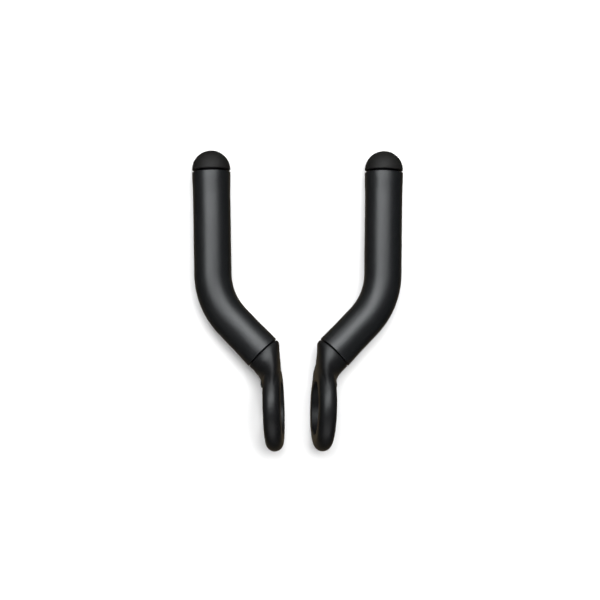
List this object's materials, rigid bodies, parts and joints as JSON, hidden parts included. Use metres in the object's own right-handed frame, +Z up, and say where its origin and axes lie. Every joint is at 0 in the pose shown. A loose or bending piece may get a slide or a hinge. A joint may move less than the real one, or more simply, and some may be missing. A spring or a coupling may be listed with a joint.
{
  "type": "bicycle bar ends",
  "caption": "Mirrored pair of bent bar-end grips with domed end caps and one-bolt split ring clamps for a bicycle handlebar.",
  "frame": {"origin": "centre of the pair's bounding box, on the surface it lies on", "axes": "+X to the right, +Y forward along the grips towards the end caps, +Z up from the surface; the plane x = 0 is the plane of mirror symmetry"},
  "size_m": [0.1256, 0.1778, 0.0506],
  "materials": {
    "black_clamp": "satin black anodised",
    "black_grip": "satin, fine grain",
    "black_cap": "matte",
    "bolt_steel": "black oxide",
    "washer_steel": "zinc plated",
    "pin_steel": "plain",
    "tube_alloy": "mill"
  },
  "bodies": {
    "left_bar_end": {"left_clamp": "black_clamp", "left_lock_pin": "pin_steel", "left_core_tube": "tube_alloy", "left_grip_sleeve": "black_grip"},
    "left_washer_body": {"left_bolt_washer": "washer_steel"},
    "left_bolt_body": {"left_clamp_bolt": "bolt_steel"},
    "left_cap_body": {"left_end_cap": "black_cap"},
    "right_bar_end": {"right_clamp": "black_clamp", "right_lock_pin": "pin_steel", "right_core_tube": "tube_alloy", "right_grip_sleeve": "black_grip"},
    "right_washer_body": {"right_bolt_washer": "washer_steel"},
    "right_bolt_body": {"right_clamp_bolt": "bolt_steel"},
    "right_cap_body": {"right_end_cap": "black_cap"}
  },
  "joints": [
    {"name": "left_bolt_travel", "type": "slide", "parent": "left_bar_end", "child": "left_washer_body", "axis": [0.0921, -0.4738, -0.8758], "range_m": [0, 0.012]},
    {"name": "left_bolt_turn", "type": "hinge", "parent": "left_washer_body", "child": "left_bolt_body", "pos_m": [-0.01494, -0.04863, 0.00752], "axis": [0.0921, -0.4738, -0.8758], "range_deg": [0, 5400]},
    {"name": "left_cap_pull", "type": "slide", "parent": "left_bar_end", "child": "left_cap_body", "axis": [-0.0165, 0.9969, -0.0767], "range_m": [0, 0.025]},
    {"name": "right_bolt_travel", "type": "slide", "parent": "right_bar_end", "child": "right_washer_body", "axis": [-0.0921, -0.4738, -0.8758], "range_m": [0, 0.012]},
    {"name": "right_bolt_turn", "type": "hinge", "parent": "right_washer_body", "child": "right_bolt_body", "pos_m": [0.01494, -0.04863, 0.00752], "axis": [-0.0921, -0.4738, -0.8758], "range_deg": [0, 5400]},
    {"name": "right_cap_pull", "type": "slide", "parent": "right_bar_end", "child": "right_cap_body", "axis": [0.0165, 0.9969, -0.0767], "range_m": [0, 0.025]},
    {"name": "right_apart", "type": "slide", "parent": "left_bar_end", "child": "right_bar_end", "axis": [1, 0, 0], "range_m": [0, 0.12]}
  ],
  "couplings": [
    {"joint": "left_bolt_turn", "follows": "left_bolt_travel", "rad_per_m": 7854},
    {"joint": "right_bolt_turn", "follows": "right_bolt_travel", "rad_per_m": 7854}
  ]
}
